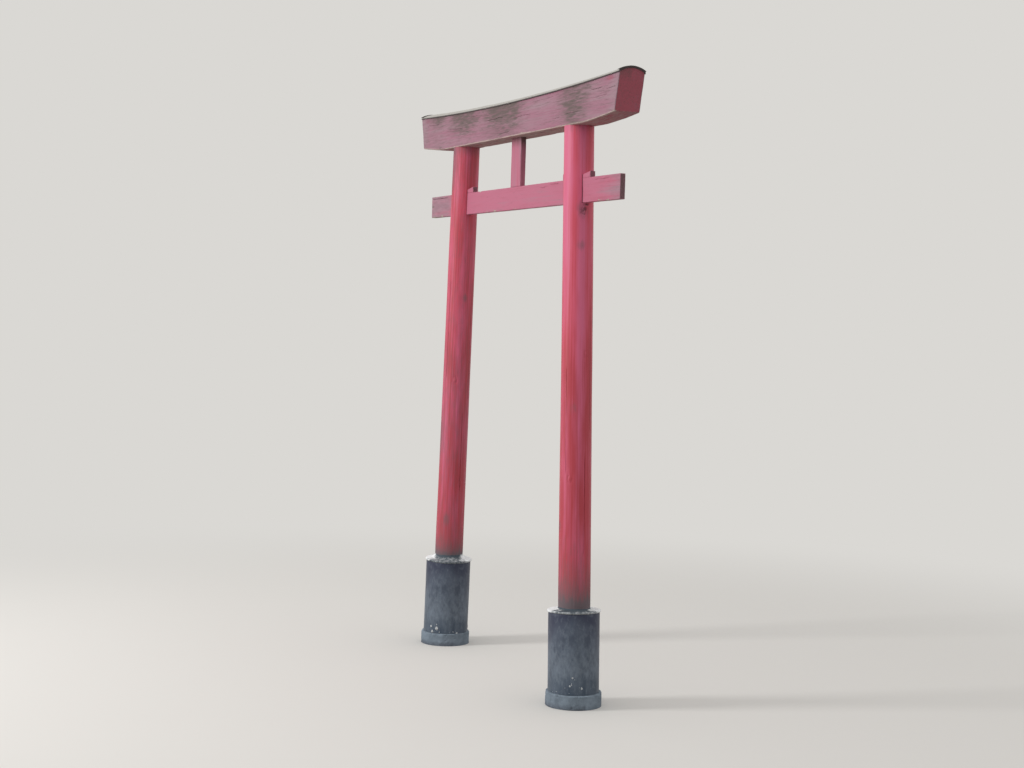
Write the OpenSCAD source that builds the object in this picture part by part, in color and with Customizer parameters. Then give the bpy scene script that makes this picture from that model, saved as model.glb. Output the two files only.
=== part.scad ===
/* [Posts] */
// Distance between the post centres at ground level
post_spacing = 1425; // [1100:5:1800]
// Inward lean of each post, in degrees
post_lean = 2.5; // [0:0.1:3.5]
// Diameter of a post at ground level
post_foot_d = 138; // [120:1:160]
// Diameter of a post under the lintel
post_head_d = 126; // [100:1:150]
// Length of a post's foot inside its footing
post_socket = 300; // [150:5:310]

/* [Lintel] */
// Length of the lintel's underside, from end to end
lintel_l = 2056; // [1900:2:2500]
// Depth of the lintel from front to back
lintel_d = 115; // [90:1:160]
// Height of the lintel's front face at the middle
lintel_h = 155; // [110:1:200]
// Length of the underside's straight middle
lintel_straight_l = 1520; // [1300:5:1600]
// Rise of the underside at each end
lintel_end_lift = 21; // [0:1:60]
// Rise of the front face's top edge from the middle to each end
lintel_sweep = 24; // [0:1:60]
// Slant of each end cut, in degrees, with its top further out
lintel_rake = 13; // [0:1:25]
// Rise of the lintel's rounded top above the front face's top edge
lintel_crown = 17; // [6:1:30]

/* [Sheet metal cap] */
// Thickness of the cap's folded sheet
cap_t = 2; // [1:0.5:4]
// Drop of the cap's hem down the lintel's faces
cap_hem = 8; // [4:1:25]

/* [Tie beam] */
// Height of the tie beam's underside above the ground
tie_z = 2098; // [1900:1:2150]
// Length of the tie beam
tie_l = 2022; // [1700:2:2400]
// Height of the tie beam
tie_h = 103; // [80:1:125]
// Thickness of the tie beam, which the strut and the wedges share
tie_t = 24; // [18:1:36]

/* [Strut] */
// Height of the strut, from the tie beam to the lintel
strut_h = 220; // [120:1:400]
// Width of the strut
strut_w = 105; // [70:1:160]

/* [Wedges] */
// Length of a wedge outside the post
wedge_out = 65; // [30:1:100]
// Height of a wedge at its driven end
wedge_back_h = 26; // [16:1:40]
// Height of a wedge at its tip
wedge_tip_h = 6; // [1:0.5:12]
// Gap between the tips of the two wedges that share a mortise
wedge_tip_gap = 6; // [2:1:20]

/* [Footings] */
// Height of the left footing above the ground, to its collar's top
left_footing_h = 420; // [380:5:600]
// Height of the right footing above the ground, to its collar's top
right_footing_h = 400; // [380:5:600]
// Outer diameter of the pipe sleeve
sleeve_d = 216; // [200:1:267]
// Wall of the pipe sleeve
sleeve_wall = 6.5; // [4:0.5:10]
// Diameter of the mortar collar on the sleeve
collar_d = 226; // [218:1:280]
// Thickness of the collar at its edge
collar_t = 9; // [5:1:20]
// Rise of the collar's top towards the post, which sheds water
collar_fall = 3; // [0:0.5:6]
// Diameter of the concrete pad under the sleeve
pad_d = 236; // [220:1:300]
// Height of the pad above the ground
pad_h = 60; // [30:1:70]
// Bevel of the pad's top edge
pad_bevel = 5; // [1:0.5:10]

/* [Joinery] */
// Clearance between the tie beam's faces and the mortise's cheeks
mortise_gap = 2; // [0.5:0.5:4]
// Width of the tenon on a post's head
post_tenon_w = 60; // [40:1:80]
// Thickness of the tenon on a post's head
post_tenon_t = 40; // [25:1:60]
// Height of the tenon on a post's head
post_tenon_h = 70; // [40:1:100]
// Width of the tenons at the strut's ends
strut_tenon_w = 60; // [40:1:66]
// Thickness of the tenons at the strut's ends
strut_tenon_t = 12; // [8:1:16]
// Height of the strut's upper tenon, in the lintel
strut_tenon_up = 40; // [20:1:80]
// Height of the strut's lower tenon, in the tie beam
strut_tenon_down = 25; // [15:1:60]

/* [Hidden] */
$fn = 96;

LEFT = -1;
RIGHT = 1;
OUTWARD = 1;
INWARD = -1;

// The colours of the old paint, fresh and faded, and of the bare materials
POST_RED = "#b5384a";
FADED_ROSE = "#b5697f";
WEATHERED_ROSE = "#a27a86";
PIPE_GREY = "#4a525e";
CONCRETE = "#8a9092";
MORTAR = "#b4b8b2";
SHEET_METAL = "#4c4a4a";

// The tie beam's top edge, on which the wedges and the strut stand, and the lintel's underside
tie_top = tie_z + tie_h;
lintel_z = tie_top + strut_h;

// A post's axis at a height above the ground, and its radius at a distance up that axis
function post_x(z) = post_spacing / 2 - z * tan(post_lean);
function log_r(along) =
    (post_foot_d + (post_head_d - post_foot_d) * along * cos(post_lean) / lintel_z) / 2;

// Each footing leans with its post. Its collar ends this far up the post's axis, at its edge.
function footing_h(side) = side == LEFT ? left_footing_h : right_footing_h;
function collar_top(side) = footing_h(side) / cos(post_lean);
fill_d = sleeve_d - 2 * sleeve_wall;

// Cuts run past the faces that they open by this much
past = 50;

// The lintel is a loft. Its stations run from the left end, at -1, to the right end, at 1.
station_count = 32;
arch_steps = 10;
stations = [for (i = [0:station_count]) 2 * i / station_count - 1];
// How quickly the underside turns up beyond its straight middle: 1 is a sharp bend
lift_power = 1.25;

// Share of the way from the end of the straight middle to the lintel's end
function bend_share(s) =
    max(0, abs(s) * lintel_l - lintel_straight_l) / (lintel_l - lintel_straight_l);
function under_z(s) = lintel_z + lintel_end_lift * pow(bend_share(s), lift_power);
function shoulder_z(s) = lintel_z + lintel_h + lintel_sweep * s * s;

// A point of a station at depth y and height z, with x slanted in step with the end cuts
function at(s, y, z) =
    [s * (lintel_l / 2 + (z - lintel_z - lintel_end_lift) * tan(lintel_rake)), y, z];

// Height of the rounded top above the shoulders, at a share of the half depth from -1 to 1
function crown(share) =
    let(half = lintel_d / 2, r = (half * half + lintel_crown * lintel_crown) / (2 * lintel_crown))
    sqrt(r * r - half * half * share * share) - (r - lintel_crown);

// The rounded top across the depth, from the front to the back, raised and widened evenly
function arch(s, up, wider) = [
    for (j = [0:arch_steps])
        let(share = 2 * j / arch_steps - 1)
        at(s, share * (lintel_d / 2 + wider), shoulder_z(s) + crown(share) + up)
];

// A closed skin over rings of points, one ring for each station
module loft(rings) {
    n = len(rings[0]);
    last = (len(rings) - 1) * n;
    skin = [
        for (i = [0:len(rings) - 2], j = [0:n - 1])
            let(a = i * n + j, b = i * n + (j + 1) % n)
            each [[a, b, b + n], [a, b + n, a + n]]
    ];
    caps = [[for (j = [n - 1:-1:0]) j], [for (j = [0:n - 1]) last + j]];
    polyhedron([for (ring = rings) each ring], concat(skin, caps));
}

// A flat shape in the gate's own plane, given thickness from front to back
module upright(thickness) {
    rotate([90, 0, 0]) linear_extrude(thickness, center = true) children();
}

// Up a post's axis, which starts at the ground and leans inwards
module leaning(side) {
    translate([side * post_spacing / 2, 0, 0]) rotate([0, -side * post_lean, 0]) children();
}

// Everything above a level and below another, for cuts that are level
module slab(low, high) {
    translate([-post_spacing, -post_spacing / 2, low]) cube([2 * post_spacing, post_spacing, high - low]);
}

// The tapered log, cut square at its foot and level under the lintel
module log(side) {
    foot = collar_top(side) - post_socket;
    head = (lintel_z + past) / cos(post_lean);
    intersection() {
        leaning(side) translate([0, 0, foot])
            cylinder(h = head - foot, r1 = log_r(foot), r2 = log_r(head));
        slab(0, lintel_z);
    }
}

module post_tenon(side) {
    translate([side * post_x(lintel_z) - post_tenon_w / 2, -post_tenon_t / 2, lintel_z])
        cube([post_tenon_w, post_tenon_t, post_tenon_h]);
}

// A wedge's outline, from its tip inside the post to its driven end
module wedge_outline(direction) {
    tip_x = post_x(tie_top) + direction * wedge_tip_gap / 2;
    back_x = post_x(tie_top) + direction * (log_r(tie_top) + wedge_out);
    polygon([
        [tip_x, tie_top],
        [back_x, tie_top],
        [back_x, tie_top + wedge_back_h],
        [tip_x, tie_top + wedge_tip_h]
    ]);
}

module tie_outline() {
    translate([-tie_l / 2, tie_z]) square([tie_l, tie_h]);
}

// The through mortise: room for the tie beam, both wedges and the gap between their tips
module mortise_outline() {
    tie_outline();
    wedge_outline(OUTWARD);
    wedge_outline(INWARD);
    translate([post_x(tie_top) - wedge_tip_gap / 2, tie_z]) square([wedge_tip_gap, tie_h + wedge_tip_h]);
}

module post(side) {
    color(POST_RED) {
        difference() {
            log(side);
            mirror([side == LEFT ? 1 : 0, 0, 0])
                upright(tie_t + 2 * mortise_gap) mortise_outline();
        }
        post_tenon(side);
    }
}

module wedge(side, direction) {
    color(FADED_ROSE)
        mirror([side == LEFT ? 1 : 0, 0, 0]) upright(tie_t) wedge_outline(direction);
}

// The strut's tenons, which the lintel and the tie beam are cut for
module strut_tenons() {
    upright(strut_tenon_t)
        translate([-strut_tenon_w / 2, tie_top - strut_tenon_down])
            square([strut_tenon_w, lintel_z + strut_tenon_up - tie_top + strut_tenon_down]);
}

module tie_beam() {
    color(FADED_ROSE) difference() {
        upright(tie_t) tie_outline();
        strut_tenons();
    }
}

module strut() {
    color(FADED_ROSE) {
        upright(tie_t)
            translate([-strut_w / 2, tie_top]) square([strut_w, lintel_z - tie_top]);
        strut_tenons();
    }
}

module lintel() {
    half = lintel_d / 2;
    color(WEATHERED_ROSE) difference() {
        loft([for (s = stations)
            concat([at(s, half, under_z(s)), at(s, -half, under_z(s))], arch(s, 0, 0))]);
        strut_tenons();
        post_tenon(LEFT);
        post_tenon(RIGHT);
    }
}

// A folded sheet between two like grids of points, its outer and its inner face
module folded_sheet(outer, inner) {
    rows = len(outer);
    n = len(outer[0]);
    under = rows * n;
    faces_of_sheet = [
        for (i = [0:rows - 2], j = [0:n - 2])
            let(a = i * n + j, b = a + n)
            each [[a, a + 1, b + 1], [a, b + 1, b],
                [under + a, under + b, under + b + 1], [under + a, under + b + 1, under + a + 1]]
    ];
    hem_edges = [
        for (i = [0:rows - 2])
            let(a = i * n, b = a + n, c = a + n - 1, d = b + n - 1)
            each [[a, b, under + b], [a, under + b, under + a],
                [c, under + c, under + d], [c, under + d, d]]
    ];
    end_edges = [
        for (j = [0:n - 2])
            let(a = j, c = (rows - 1) * n + j)
            each [[a, under + a, under + a + 1], [a, under + a + 1, a + 1],
                [c, c + 1, under + c + 1], [c, under + c + 1, under + c]]
    ];
    points = [for (row = concat(outer, inner)) each row];
    polyhedron(points, concat(faces_of_sheet, hem_edges, end_edges));
}

// One face of the cap at a station: an arch between the hems at the front and the back
function cap_line(s, out) =
    let(half = lintel_d / 2 + out, hem_z = shoulder_z(s) - cap_hem)
    concat([at(s, -half, hem_z)], arch(s, out, out), [at(s, half, hem_z)]);

module lintel_cap() {
    color(SHEET_METAL)
        folded_sheet([for (s = stations) cap_line(s, cap_t)], [for (s = stations) cap_line(s, 0)]);
}

// A strip that closes the cap at one end, over the lintel's rounded end and down its face
module lintel_cap_end(side) {
    nearer = side == LEFT ? -cap_t : 0;
    further = side == LEFT ? 0 : cap_t;
    color(SHEET_METAL) folded_sheet(
        [for (x = [nearer, further]) [for (p = arch(side, cap_t, cap_t)) p + [x, 0, 0]]],
        [for (x = [nearer, further]) [for (p = arch(side, -cap_hem, cap_t)) p + [x, 0, 0]]]);
}

module footing_pad(side) {
    r = pad_d / 2;
    color(CONCRETE) translate([side * post_spacing / 2, 0, 0]) rotate_extrude()
        polygon([[0, 0], [r, 0], [r, pad_h - pad_bevel], [r - pad_bevel, pad_h], [0, pad_h]]);
}

// A round bar on the post's axis, from the pad up to the collar
module footing_bar(side, diameter) {
    intersection() {
        leaning(side) cylinder(h = collar_top(side) - collar_t, d = diameter);
        slab(pad_h, footing_h(side) + past);
    }
}

module footing_sleeve(side) {
    color(PIPE_GREY) difference() {
        footing_bar(side, sleeve_d);
        leaning(side) cylinder(h = collar_top(side), d = fill_d);
    }
}

module footing_fill(side) {
    color(CONCRETE) difference() {
        footing_bar(side, fill_d);
        log(side);
    }
}

// The collar overhangs the sleeve, with a rounded edge and a top that rises to the post
module footing_collar(side) {
    r = collar_d / 2;
    nose = collar_t / 2;
    bottom = collar_top(side) - collar_t;
    inner = [for (up = [0, collar_t + collar_fall]) [log_r(bottom + up), up]];
    color(MORTAR) leaning(side) translate([0, 0, bottom]) rotate_extrude() {
        polygon([inner[0], [r - nose, 0], [r - nose, collar_t], inner[1]]);
        intersection() {
            translate([r - nose, nose]) circle(r = nose);
            translate([r - nose, 0]) square([nose, collar_t]);
        }
    }
}

post(LEFT);  // left_post
post(RIGHT);  // right_post
footing_pad(LEFT);  // left_footing_pad
footing_pad(RIGHT);  // right_footing_pad
footing_sleeve(LEFT);  // left_footing_sleeve
footing_sleeve(RIGHT);  // right_footing_sleeve
footing_fill(LEFT);  // left_footing_fill
footing_fill(RIGHT);  // right_footing_fill
footing_collar(LEFT);  // left_footing_collar
footing_collar(RIGHT);  // right_footing_collar
tie_beam();
strut();
wedge(LEFT, OUTWARD);  // wedge_left_outer
wedge(LEFT, INWARD);  // wedge_left_inner
wedge(RIGHT, INWARD);  // wedge_right_inner
wedge(RIGHT, OUTWARD);  // wedge_right_outer
lintel();
lintel_cap();
lintel_cap_end(LEFT);  // lintel_cap_left_end
lintel_cap_end(RIGHT);  // lintel_cap_right_end
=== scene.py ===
import math

import bmesh
import bpy
import numpy as np
from mathutils import Matrix, Vector, noise


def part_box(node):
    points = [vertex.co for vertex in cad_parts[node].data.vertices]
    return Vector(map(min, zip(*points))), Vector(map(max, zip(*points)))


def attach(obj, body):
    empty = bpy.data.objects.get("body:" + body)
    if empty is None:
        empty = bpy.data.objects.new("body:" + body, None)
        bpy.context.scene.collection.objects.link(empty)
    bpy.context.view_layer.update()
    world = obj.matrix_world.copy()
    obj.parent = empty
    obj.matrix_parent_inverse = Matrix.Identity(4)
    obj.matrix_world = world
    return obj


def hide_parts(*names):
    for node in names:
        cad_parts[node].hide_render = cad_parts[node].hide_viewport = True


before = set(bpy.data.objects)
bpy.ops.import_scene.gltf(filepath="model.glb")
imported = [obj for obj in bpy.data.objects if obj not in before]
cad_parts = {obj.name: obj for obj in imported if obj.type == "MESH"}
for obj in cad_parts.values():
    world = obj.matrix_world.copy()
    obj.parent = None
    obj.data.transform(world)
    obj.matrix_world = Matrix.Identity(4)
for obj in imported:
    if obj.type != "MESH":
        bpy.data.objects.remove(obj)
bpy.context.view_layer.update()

# Camera
# The gate is seen from a little below head height, to the right of its front, so that its right
# end turns towards the viewer. The view is aimed at the middle of the gate, and rolled a little.
camera_place = Vector((7.1588, -3.2505, 1.6351))
camera_aim = Vector((0.0, 0.0, 1.31))
camera_roll = math.radians(1.65)


def aimed(place, target):
    """How a camera or a lamp stands that looks from a place at a target"""
    turn = (target - place).to_track_quat("-Z", "Y").to_matrix().to_4x4()
    return Matrix.Translation(place) @ turn


lens = bpy.data.cameras.new("camera")
lens.lens = 61.0
lens.sensor_width = 36.0
camera = bpy.data.objects.new("camera", lens)
camera.matrix_world = aimed(camera_place, camera_aim) @ Matrix.Rotation(camera_roll, 4, "Z")
bpy.context.scene.collection.objects.link(camera)
bpy.context.scene.camera = camera
bpy.context.scene.view_settings.view_transform = "Standard"

# Studio
# A plain pale floor that fades into an equally pale backdrop, with one tall soft lamp at the front
# left and an even surround. The right-hand ends of the timbers are left in soft shade.
BACKDROP = "#dad8d4"
FLOOR = "#e4e1dc"
FLOOR_IN_BOUNCES = "#93908c"
surround_strength = 0.70
lamp_place = Vector((-1.4, -7.7, 3.8))
lamp_width, lamp_height = 1.6, 4.4
lamp_power = 350.0
floor_radius = 40.0
fade_start, fade_end = 2.2, 5.4


def linear(code):
    """The linear colour of an sRGB hex value"""
    shares = [int(code[i:i + 2], 16) / 255 for i in (1, 3, 5)]
    return [*(s / 12.92 if s <= 0.04045 else ((s + 0.055) / 1.055) ** 2.4 for s in shares), 1.0]


def add(tree, kind, sockets=(), output=None, **settings):
    """Adds a node with its settings and links, and returns its output. Sockets go by name or number."""
    made = tree.nodes.new(kind)
    for name, value in settings.items():
        setattr(made, name, value)
    for key, value in dict(sockets).items():
        found = [s for s in made.inputs if s.enabled and s.name == key]
        socket = found[0] if found else made.inputs[key]
        if isinstance(value, bpy.types.NodeSocket):
            tree.links.new(value, socket)
        else:
            socket.default_value = value
    return next((s for s in made.outputs if s.enabled and output in (None, s.name)), None)


def new_material(name):
    """A material with nothing in its tree yet"""
    material = bpy.data.materials.new(name)
    material.use_nodes = True
    material.node_tree.nodes.clear()
    return material


def seen_directly(tree):
    """1 where a ray shows a thing itself or its mirror image, and 0 for light that it scatters"""
    path = add(tree, "ShaderNodeLightPath").node.outputs
    mirrored = add(tree, "ShaderNodeMath", operation="MAXIMUM",
                   sockets={0: path["Is Glossy Ray"], 1: path["Is Transmission Ray"]})
    return add(tree, "ShaderNodeMath", {0: path["Is Camera Ray"], 1: mirrored}, operation="MAXIMUM")


world = bpy.data.worlds.new("surround")
world.use_nodes = True
bpy.context.scene.world = world
tree = world.node_tree
tree.nodes.clear()
even = add(tree, "ShaderNodeBackground", {"Color": linear("#ffffff"), "Strength": surround_strength})
pale = add(tree, "ShaderNodeBackground", {"Color": linear(BACKDROP), "Strength": 1.0})
shown = add(tree, "ShaderNodeMixShader", {0: seen_directly(tree), 1: even, 2: pale})
add(tree, "ShaderNodeOutputWorld", {"Surface": shown})

# Painted board, laid flat: pale, matt and even, so that it takes a soft shadow. It is darker for the
# light that it scatters, and further out it turns into the backdrop.
board = new_material("matt_painted_floor")
tree = board.node_tree
place = add(tree, "ShaderNodeTexCoord", output="Object")
distance = add(tree, "ShaderNodeVectorMath", {0: place}, output="Value", operation="LENGTH")
far = add(tree, "ShaderNodeMapRange", interpolation_type="SMOOTHSTEP",
          sockets={"Value": distance, "From Min": fade_start, "From Max": fade_end})
near_floor = add(tree, "ShaderNodeBsdfDiffuse", {"Color": linear(FLOOR)})
far_floor = add(tree, "ShaderNodeEmission", {"Color": linear(BACKDROP), "Strength": 1.0})
visible = add(tree, "ShaderNodeMixShader", {0: far, 1: near_floor, 2: far_floor})
bouncing = add(tree, "ShaderNodeBsdfDiffuse", {"Color": linear(FLOOR_IN_BOUNCES)})
surface = add(tree, "ShaderNodeMixShader", {0: seen_directly(tree), 1: bouncing, 2: visible})
add(tree, "ShaderNodeOutputMaterial", {"Surface": surface})

bpy.ops.mesh.primitive_circle_add(vertices=128, radius=floor_radius, fill_type="NGON")
floor = bpy.context.object
floor.name = "floor"
floor.data.materials.append(board)

glow = bpy.data.lights.new("soft_lamp", "AREA")
glow.shape = "RECTANGLE"
glow.size, glow.size_y = lamp_width, lamp_height
glow.energy = lamp_power
lamp = bpy.data.objects.new("soft_lamp", glow)
lamp.matrix_world = aimed(lamp_place, camera_aim)
bpy.context.scene.collection.objects.link(lamp)

# Posts
# Two peeled logs, about 13 cm thick, painted red and leaning inwards. They have dried since, so that
# long cracks have opened along the grain, and the paint has gone where rain splashes their feet.
# The tie beam goes through a mortise near the top, which wedges close from above.
POST_RED = "#da596c"
POST_PINK = "#e17090"
POST_LOW_RED = "#bf4a55"
POST_BARE = "#86766f"
BARE_GREY = "#6a5f5c"
POST_SOIL = "#74666a"
CRACK_BROWN = "#43242a"
lean = math.radians(2.5)
foot_radius, head_radius = 0.069, 0.063
socket_depth = 0.300
collar_level = {"left": 0.420, "right": 0.400}
pad_low, pad_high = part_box("right_footing_pad")
spacing = pad_low.x + pad_high.x
under_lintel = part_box("lintel")[0].z
mortise_slack = 0.001
mouth_wear = {"left": 0.0, "right": 0.0022}
mouth_depth = 0.014
tip_height = 0.006
# The relief of a peeled log: its uneven girth, ripples along the grain, knots with a dip round them,
# and the rot above the collar
girth_swing, ripple_height = 0.0010, 0.00035
knot_height, knot_dip = 0.0018, 0.0014
rot_height, rot_depth, skin_loss = 0.05, 0.0022, 0.0004
crease = math.radians(50)
post_columns = 192
# The rows of points up a post lie close at the chips under the tie beam, and far apart in the footing
post_row = 0.008
chipped_row, chipped_height = post_row / 3, 0.07
hidden_row, hidden_depth = 0.034, 0.03

SIDES = {"left": -1, "right": 1}


def lumps(points, size, seed=0):
    """Smooth noise from -1 to 1 at points in metres. Its lumps are as long as size, along each axis."""
    scaled = points / np.array(size) + 7.31 * seed
    found = [noise.noise(p) for p in scaled.reshape(-1, 3).tolist()]
    return np.array(found).reshape(points.shape[:-1])


def bell(distance):
    """1 at no distance, and smoothly down to 0 at a distance of 1"""
    return np.clip(1 - np.square(distance), 0, None) ** 2


def wheel(radius, turn, up):
    """Points at a radius and a turn round an upright axis"""
    return np.stack([radius * np.cos(turn), radius * np.sin(turn), up], -1)


def piece(name, points, faces):
    """A piece of points and faces, shaded as smooth"""
    mesh = bpy.data.meshes.new(name)
    mesh.from_pydata(points.reshape(-1, 3).tolist(), [], faces)
    mesh.shade_smooth()
    made = bpy.data.objects.new(name, mesh)
    bpy.context.scene.collection.objects.link(made)
    return made


def face_outwards(made):
    """Turns the faces of a closed piece outwards"""
    skin = bmesh.new()
    skin.from_mesh(made.data)
    bmesh.ops.recalc_face_normals(skin, faces=skin.faces)
    skin.to_mesh(made.data)
    skin.free()


def shell(name, rings, round_trip=False):
    """A closed skin over rings of points, which ends in two faces or comes round to its start"""
    rows, count = rings.shape[:2]
    index = np.arange(rows * count).reshape(rows, count)
    first, second = (index, np.roll(index, -1, 0)) if round_trip else (index[:-1], index[1:])
    quads = np.stack([first, np.roll(first, -1, 1), np.roll(second, -1, 1), second], -1).reshape(-1, 4)
    ends = [] if round_trip else [index[0][::-1].tolist(), index[-1].tolist()]
    made = piece(name, rings, quads.tolist() + ends)
    face_outwards(made)
    return made


def settle(made):
    """Makes a piece and its modifiers one plain mesh"""
    ready = made.evaluated_get(bpy.context.evaluated_depsgraph_get())
    mesh = bpy.data.meshes.new_from_object(ready)
    made.modifiers.clear()
    made.data = mesh


def places(made):
    """Where a piece's points are, in metres"""
    found = np.empty(len(made.data.vertices) * 3, np.float32)
    made.data.vertices.foreach_get("co", found)
    return found.reshape(-1, 3).astype(float)


def keep(made, **layers):
    """Keeps values on a piece's points, for its material to read"""
    for name, values in layers.items():
        kind, field = ("FLOAT_VECTOR", "vector") if values.shape[-1] == 3 else ("FLOAT", "value")
        layer = made.data.attributes.new(name, kind, "POINT")
        layer.data.foreach_set(field, values.astype(np.float32).ravel())


def seat(made, material, node):
    """Gives a finished piece its material, and its place among the solids of the gate"""
    made.data.materials.clear()
    made.data.materials.append(material)
    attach(made, "root")
    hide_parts(node)


def textures(tree, place, *kinds):
    """Cloudy patterns at a place. Each kind says how long its lumps are along the three axes, in
    millimetres, how detailed it is and how rough."""
    patterns = []
    for lengths, detail, fineness in kinds:
        scaled = add(tree, "ShaderNodeVectorMath", operation="MULTIPLY",
                     sockets={0: place, 1: [1000 / length for length in lengths]})
        patterns.append(add(tree, "ShaderNodeTexNoise", {"Vector": scaled, "Scale": 1.0,
                                                         "Detail": detail, "Roughness": fineness}))
    return patterns


def marked(tree, pattern, weight, base, start, end):
    """Where a mark lies, from 0 to 1: a weighed pattern on top of a base, from its start to its end"""
    total = add(tree, "ShaderNodeMath", {0: pattern, 1: weight, 2: base}, operation="MULTIPLY_ADD")
    return add(tree, "ShaderNodeMapRange", {"Value": total, "From Min": start, "From Max": end})


def old_paint(name, paint, deep, faded, bare, pale, soil, rough, specular, flakes_mm, softness,
              crazing=0.0):
    """Brushed oil paint on timber: faded in streaks, crazed, dirty, and worn through to grey, fibrous
    wood. Its dirt and deep layers also carry painted shade, its faded layer a painted sheen, and cracks
    darken with their depth as painted shade. The fibres and the crazing are really a few tenths of a
    millimetre wide: they are drawn wider, so that they show."""
    material = new_material(name)
    tree = material.node_tree
    grain = add(tree, "ShaderNodeAttribute", output="Vector", attribute_name="grain")
    depth, worn, edge, grime, sunned, sheltered = [
        add(tree, "ShaderNodeAttribute", output="Fac", attribute_name=layer)
        for layer in ("depth", "worn", "edge", "grime", "sunned", "sheltered")]
    clouds, streaks, fibres, flakes, spots, crackle = textures(
        tree, grain, ((300, 45, 45), 3, 0.5), ((500, 7, 7), 4, 0.6), ((150, 2.4, 2.4), 5, 0.65),
        (flakes_mm, 6, 0.62), ((60, 8, 8), 6, 0.65), ((75, 5, 5), 4, 0.6))

    brushed = add(tree, "ShaderNodeMapRange", {"Value": streaks, "From Min": 0.3, "From Max": 0.7,
                                               "To Min": -0.35, "To Max": 0.35})
    uneven = add(tree, "ShaderNodeMapRange", {"Value": clouds, "From Min": 0.3, "From Max": 0.7,
                                              "To Min": -0.25, "To Max": 0.45})
    uneven = add(tree, "ShaderNodeMath", {0: brushed, 1: uneven}, operation="ADD")
    darker = add(tree, "ShaderNodeMath", {0: sheltered, 1: uneven}, operation="SUBTRACT",
                 use_clamp=True)
    fading = add(tree, "ShaderNodeMath", {0: sunned, 1: uneven}, operation="ADD", use_clamp=True)
    crazed = add(tree, "ShaderNodeMapRange", {"Value": crackle, "From Min": 0.56, "From Max": 0.68,
                                              "To Max": crazing})
    painted = linear(paint)
    for amount, coat in ((darker, deep), (fading, faded), (crazed, soil)):
        painted = add(tree, "ShaderNodeMix", {"Factor": amount, "A": painted, "B": linear(coat)},
                      data_type="RGBA")

    tone = add(tree, "ShaderNodeMapRange", {"Value": fibres, "From Min": 0.36, "From Max": 0.62})
    timber = linear(BARE_GREY)
    for amount, coat in ((tone, bare), (edge, pale)):
        timber = add(tree, "ShaderNodeMix", {"Factor": amount, "A": timber, "B": linear(coat)},
                     data_type="RGBA")
    lost = marked(tree, flakes, 1.2, worn, 1.075 - softness / 2, 1.075 + softness / 2)
    colour = add(tree, "ShaderNodeMix", {"Factor": lost, "A": painted, "B": timber}, data_type="RGBA")

    # Dirt and painted shade take the soil colour. Inside a crack the colour darkens with depth, as dark
    # bare wood and painted shade.
    soiled = marked(tree, spots, 0.9, grime, 0.55, 1.35)
    inside = add(tree, "ShaderNodeMapRange", {"Value": depth, "From Min": 0.001, "From Max": 0.0045})
    for amount, coat in ((soiled, soil), (inside, CRACK_BROWN)):
        colour = add(tree, "ShaderNodeMix", {"Factor": amount, "A": colour, "B": linear(coat)},
                     data_type="RGBA")

    dull = add(tree, "ShaderNodeMath", {0: lost, 1: soiled}, operation="MAXIMUM")
    matt = add(tree, "ShaderNodeMapRange", {"Value": dull, "To Min": rough, "To Max": 0.85})
    film = add(tree, "ShaderNodeMath", {0: lost, 1: -0.00025}, operation="MULTIPLY")
    relief = add(tree, "ShaderNodeMapRange", {"Value": lost, "To Min": 0.0002, "To Max": 0.0009})
    height = add(tree, "ShaderNodeMath", {0: fibres, 1: relief, 2: film}, operation="MULTIPLY_ADD")
    bump = add(tree, "ShaderNodeBump", {"Height": height, "Distance": 1.0, "Strength": 1.0})
    surface = add(tree, "ShaderNodeBsdfPrincipled", {"Base Color": colour, "Roughness": matt,
                                                     "Normal": bump, "Specular IOR Level": specular})
    add(tree, "ShaderNodeOutputMaterial", {"Surface": surface})
    return material


def lean_over(side, local):
    """Points given as x, y and a distance up a post's axis, brought to the gate's own frame"""
    x, y, up = np.moveaxis(local, -1, 0)
    across, along = math.cos(lean), math.sin(lean)
    level = up * across + side * x * along
    return np.stack([side * (spacing / 2 - up * along) + x * across, y, level], -1)


def stand_up(side, points):
    """The reverse of lean_over"""
    x, y, z = np.moveaxis(points, -1, 0)
    x = x - side * spacing / 2
    across, along = math.cos(lean), math.sin(lean)
    return np.stack([x * across + z * side * along, y, z * across - side * x * along], -1)


def log_radius(up):
    """The sound log's radius, at a distance up its axis"""
    return foot_radius + (head_radius - foot_radius) * up * math.cos(lean) / under_lintel


def round_the_log(turn, azimuth, up):
    """How far round a log its points lie from a line up it, at an azimuth in degrees"""
    return log_radius(up) * np.sin((turn - math.radians(azimuth)) / 2) * 2


def open_crack(rings, outward, along, column, start, end, width, depth):
    """Opens a drying crack down one column of points: they sink, and their neighbours close in"""
    share = np.clip((along - start) / (end - start), 0, 1)
    opening = (np.sqrt(4 * share * (1 - share)) * (0.85 + 0.15 * np.sin(along * 90)))[:, None]
    middle = rings[:, column].copy()
    for step in (-1, 1):
        beside = (column + step) % rings.shape[1]
        away = rings[:, beside] - middle
        away *= width / 2 / np.linalg.norm(away, axis=-1, keepdims=True)
        rings[:, beside] += (middle + away - rings[:, beside]) * opening
    rings[:, column] -= outward[:, column] * depth * opening


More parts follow.
